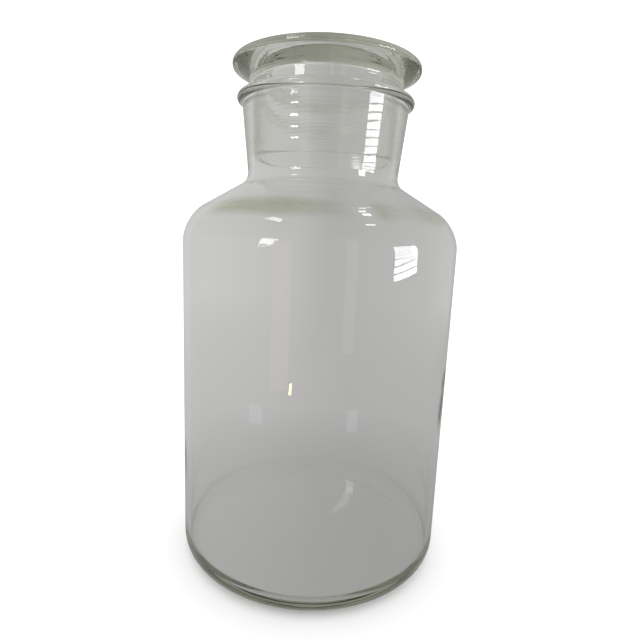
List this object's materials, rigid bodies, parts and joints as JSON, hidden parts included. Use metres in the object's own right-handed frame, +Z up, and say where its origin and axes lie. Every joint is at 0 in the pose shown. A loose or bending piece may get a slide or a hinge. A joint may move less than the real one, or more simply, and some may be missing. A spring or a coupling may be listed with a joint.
{
  "type": "stoppered glass storage jar",
  "caption": "Large clear glass wide-mouth storage jar with a round shoulder, tapered neck and beaded lip, closed by a ground-in hollow glass stopper with a flared disc head.",
  "frame": {"origin": "centre of the foot ring, on the surface that the jar stands on", "axes": "+Z up along the jar's axis, through the middle of the stopper; +X and +Y are interchangeable"},
  "size_m": [0.226, 0.226, 0.4103],
  "materials": {
    "jar_glass": "clear polished blown glass with a faint grey-green cast",
    "stopper_glass": "clear pressed glass, greener where it is thick"
  },
  "bodies": {
    "jar": {"jar": "jar_glass"},
    "stopper": {"stopper": "stopper_glass"}
  },
  "joints": [
    {"name": "stopper_lift", "type": "slide", "parent": "jar", "child": "stopper", "axis": [0, 0, 1], "range_m": [0, 0.06]}
  ]
}
